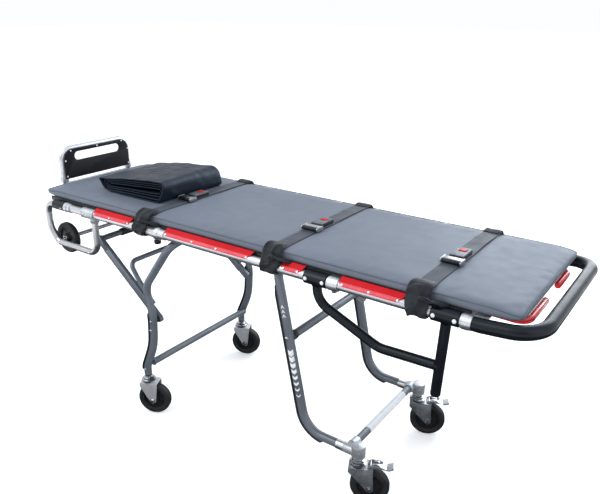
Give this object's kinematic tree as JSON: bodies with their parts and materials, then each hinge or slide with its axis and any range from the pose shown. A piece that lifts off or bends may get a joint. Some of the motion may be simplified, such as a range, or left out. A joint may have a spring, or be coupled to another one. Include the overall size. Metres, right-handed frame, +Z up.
{
  "type": "stretcher trolley",
  "caption": "Roll-in stretcher trolley: tubular railed deck with a belted mattress on two folding undercarriages with swivel castors, loading wheels, push loop and lift handle.",
  "frame": {"origin": "on the floor, under the middle of the bounding box", "axes": "+X to the foot end with the push loop, -Y to the side with the fastening post, +Z up"},
  "size_m": [1.9739, 0.6315, 0.9585],
  "materials": {
    "bare_aluminium": "satin drawn tube",
    "cast_aluminium": "fine cast, lightly blasted",
    "grey_paint": "satin gunmetal grey powder coat",
    "black_paint": "satin black powder coat",
    "red_guard": "red extruded plastic",
    "red_button": "red moulded plastic",
    "black_plastic": "black moulded plastic",
    "zinc_plate": "bright zinc plate",
    "wheel_rubber": "black rubber and hub",
    "vinyl": "charcoal coated vinyl",
    "cover_cloth": "black coated nylon",
    "webbing": "woven black webbing"
  },
  "bodies": {
    "deck": {"buckle_foot": "black_plastic", "buckle_head": "black_plastic", "buckle_middle": "black_plastic", "deck_panel": "bare_aluminium", "fastening_post": "black_paint", "folded_cover": "cover_cloth", "foot_bearer": "bare_aluminium", "foot_loop": "black_paint", "front_hinge_bearer": "bare_aluminium", "head_bearer": "bare_aluminium", "head_loop_far": "bare_aluminium", "head_loop_near": "bare_aluminium", "head_tee_far": "cast_aluminium", "head_tee_near": "cast_aluminium", "loading_axle": "zinc_plate", "mattress": "vinyl", "rail_far": "bare_aluminium", "rail_guard_far_1": "red_guard", "rail_guard_far_2": "red_guard", "rail_guard_far_3": "red_guard", "rail_guard_far_4": "red_guard", "rail_guard_near_1": "red_guard", "rail_guard_near_2": "red_guard", "rail_guard_near_3": "red_guard", "rail_guard_near_4": "red_guard", "rail_near": "bare_aluminium", "rear_hinge_bearer": "bare_aluminium", "strap_foot": "webbing", "strap_head": "webbing", "strap_middle": "webbing"},
    "handle": {"handle_frame": "bare_aluminium", "handle_plate": "black_paint"},
    "rear_legs": {"rear_leg_frame": "grey_paint", "rear_cross_tube": "grey_paint"},
    "stay": {"strut_near": "grey_paint", "strut_far": "grey_paint", "strut_bar": "grey_paint", "stay_bow": "grey_paint"},
    "front_legs": {"front_leg_frame": "grey_paint", "front_upper_cross": "grey_paint", "front_lower_cross": "grey_paint", "front_casting_near": "cast_aluminium", "front_casting_far": "cast_aluminium"},
    "release_lever_near": {"release_lever_near": "red_guard"},
    "loading_wheel_near": {"loading_wheel_near": "wheel_rubber"},
    "rear_fork_near": {"rear_fork_near": "zinc_plate"},
    "rear_wheel_near": {"rear_wheel_near": "wheel_rubber"},
    "front_fork_near": {"front_fork_near": "zinc_plate"},
    "front_wheel_near": {"front_wheel_near": "wheel_rubber"},
    "brake_pedal_near": {"brake_pedal_near": "zinc_plate"},
    "release_lever_far": {"release_lever_far": "red_guard"},
    "loading_wheel_far": {"loading_wheel_far": "wheel_rubber"},
    "rear_fork_far": {"rear_fork_far": "zinc_plate"},
    "rear_wheel_far": {"rear_wheel_far": "wheel_rubber"},
    "front_fork_far": {"front_fork_far": "zinc_plate"},
    "front_wheel_far": {"front_wheel_far": "wheel_rubber"},
    "brake_pedal_far": {"brake_pedal_far": "zinc_plate"},
    "buckle_button_head": {"buckle_button_head": "red_button"},
    "buckle_button_middle": {"buckle_button_middle": "red_button"},
    "buckle_button_foot": {"buckle_button_foot": "red_button"}
  },
  "joints": [
    {"name": "rear_fold", "type": "hinge", "parent": "deck", "child": "rear_legs", "pos_m": [-0.255, 0, 0.735], "axis": [0, -1, 0], "range_deg": [0, 70]},
    {"name": "stay_swing", "type": "hinge", "parent": "rear_legs", "child": "stay", "pos_m": [-0.372, 0, 0.412], "axis": [0, -1, 0], "range_deg": [-53, 0]},
    {"name": "front_fold", "type": "hinge", "parent": "deck", "child": "front_legs", "pos_m": [0.152, 0, 0.735], "axis": [0, -1, 0], "range_deg": [0, 55]},
    {"name": "handle_fold", "type": "hinge", "parent": "deck", "child": "handle", "pos_m": [-0.9765, 0, 0.806], "axis": [0, -1, 0], "range_deg": [0, 165]},
    {"name": "lever_pull_near", "type": "hinge", "parent": "deck", "child": "release_lever_near", "pos_m": [0.815, -0.213, 0.778], "axis": [0, 0, -1], "range_deg": [0, 7], "stiffness_Nm_per_rad": 3},
    {"name": "lever_pull_far", "type": "hinge", "parent": "deck", "child": "release_lever_far", "pos_m": [0.815, 0.168, 0.778], "axis": [0, 0, 1], "range_deg": [0, 7], "stiffness_Nm_per_rad": 3},
    {"name": "button_press_head", "type": "slide", "parent": "deck", "child": "buckle_button_head", "axis": [0, 0, -1], "range_m": [0, 0.004], "stiffness_N_per_m": 400},
    {"name": "button_press_middle", "type": "slide", "parent": "deck", "child": "buckle_button_middle", "axis": [0, 0, -1], "range_m": [0, 0.004], "stiffness_N_per_m": 400},
    {"name": "button_press_foot", "type": "slide", "parent": "deck", "child": "buckle_button_foot", "axis": [0, 0, -1], "range_m": [0, 0.004], "stiffness_N_per_m": 400},
    {"name": "loading_wheel_spin_near", "type": "hinge", "parent": "deck", "child": "loading_wheel_near", "pos_m": [-0.883, -0.24, 0.6185], "axis": [0, 1, 0], "continuous": true},
    {"name": "loading_wheel_spin_far", "type": "hinge", "parent": "deck", "child": "loading_wheel_far", "pos_m": [-0.883, 0.24, 0.6185], "axis": [0, 1, 0], "continuous": true},
    {"name": "rear_swivel_near", "type": "hinge", "parent": "rear_legs", "child": "rear_fork_near", "pos_m": [-0.432, -0.2745, 0.15], "axis": [0, 0, 1], "continuous": true},
    {"name": "rear_wheel_spin_near", "type": "hinge", "parent": "rear_fork_near", "child": "rear_wheel_near", "pos_m": [-0.41387, -0.26605, 0.0635], "axis": [-0.4226, 0.9063, 0], "continuous": true},
    {"name": "rear_swivel_far", "type": "hinge", "parent": "rear_legs", "child": "rear_fork_far", "pos_m": [-0.432, 0.2745, 0.15], "axis": [0, 0, 1], "continuous": true},
    {"name": "rear_wheel_spin_far", "type": "hinge", "parent": "rear_fork_far", "child": "rear_wheel_far", "pos_m": [-0.41387, 0.28295, 0.0635], "axis": [-0.4226, 0.9063, 0], "continuous": true},
    {"name": "front_swivel_near", "type": "hinge", "parent": "front_legs", "child": "front_fork_near", "pos_m": [0.468, -0.215, 0.15], "axis": [0, 0, 1], "continuous": true},
    {"name": "front_wheel_spin_near", "type": "hinge", "parent": "front_fork_near", "child": "front_wheel_near", "pos_m": [0.50425, -0.19809, 0.0635], "axis": [-0.4226, 0.9063, 0], "continuous": true},
    {"name": "front_swivel_far", "type": "hinge", "parent": "front_legs", "child": "front_fork_far", "pos_m": [0.468, 0.215, 0.15], "axis": [0, 0, 1], "continuous": true},
    {"name": "front_wheel_spin_far", "type": "hinge", "parent": "front_fork_far", "child": "front_wheel_far", "pos_m": [0.50425, 0.23191, 0.0635], "axis": [-0.4226, 0.9063, 0], "continuous": true},
    {"name": "brake_near", "type": "hinge", "parent": "front_fork_near", "child": "brake_pedal_near", "pos_m": [0.497, -0.20148, 0.1384], "axis": [0.4226, -0.9063, 0], "range_deg": [0, 10]},
    {"name": "brake_far", "type": "hinge", "parent": "front_fork_far", "child": "brake_pedal_far", "pos_m": [0.497, 0.22852, 0.1384], "axis": [0.4226, -0.9063, 0], "range_deg": [0, 10]}
  ],
  "couplings": [
    {"joint": "stay_swing", "follows": "rear_fold", "ratio": -0.748}
  ]
}
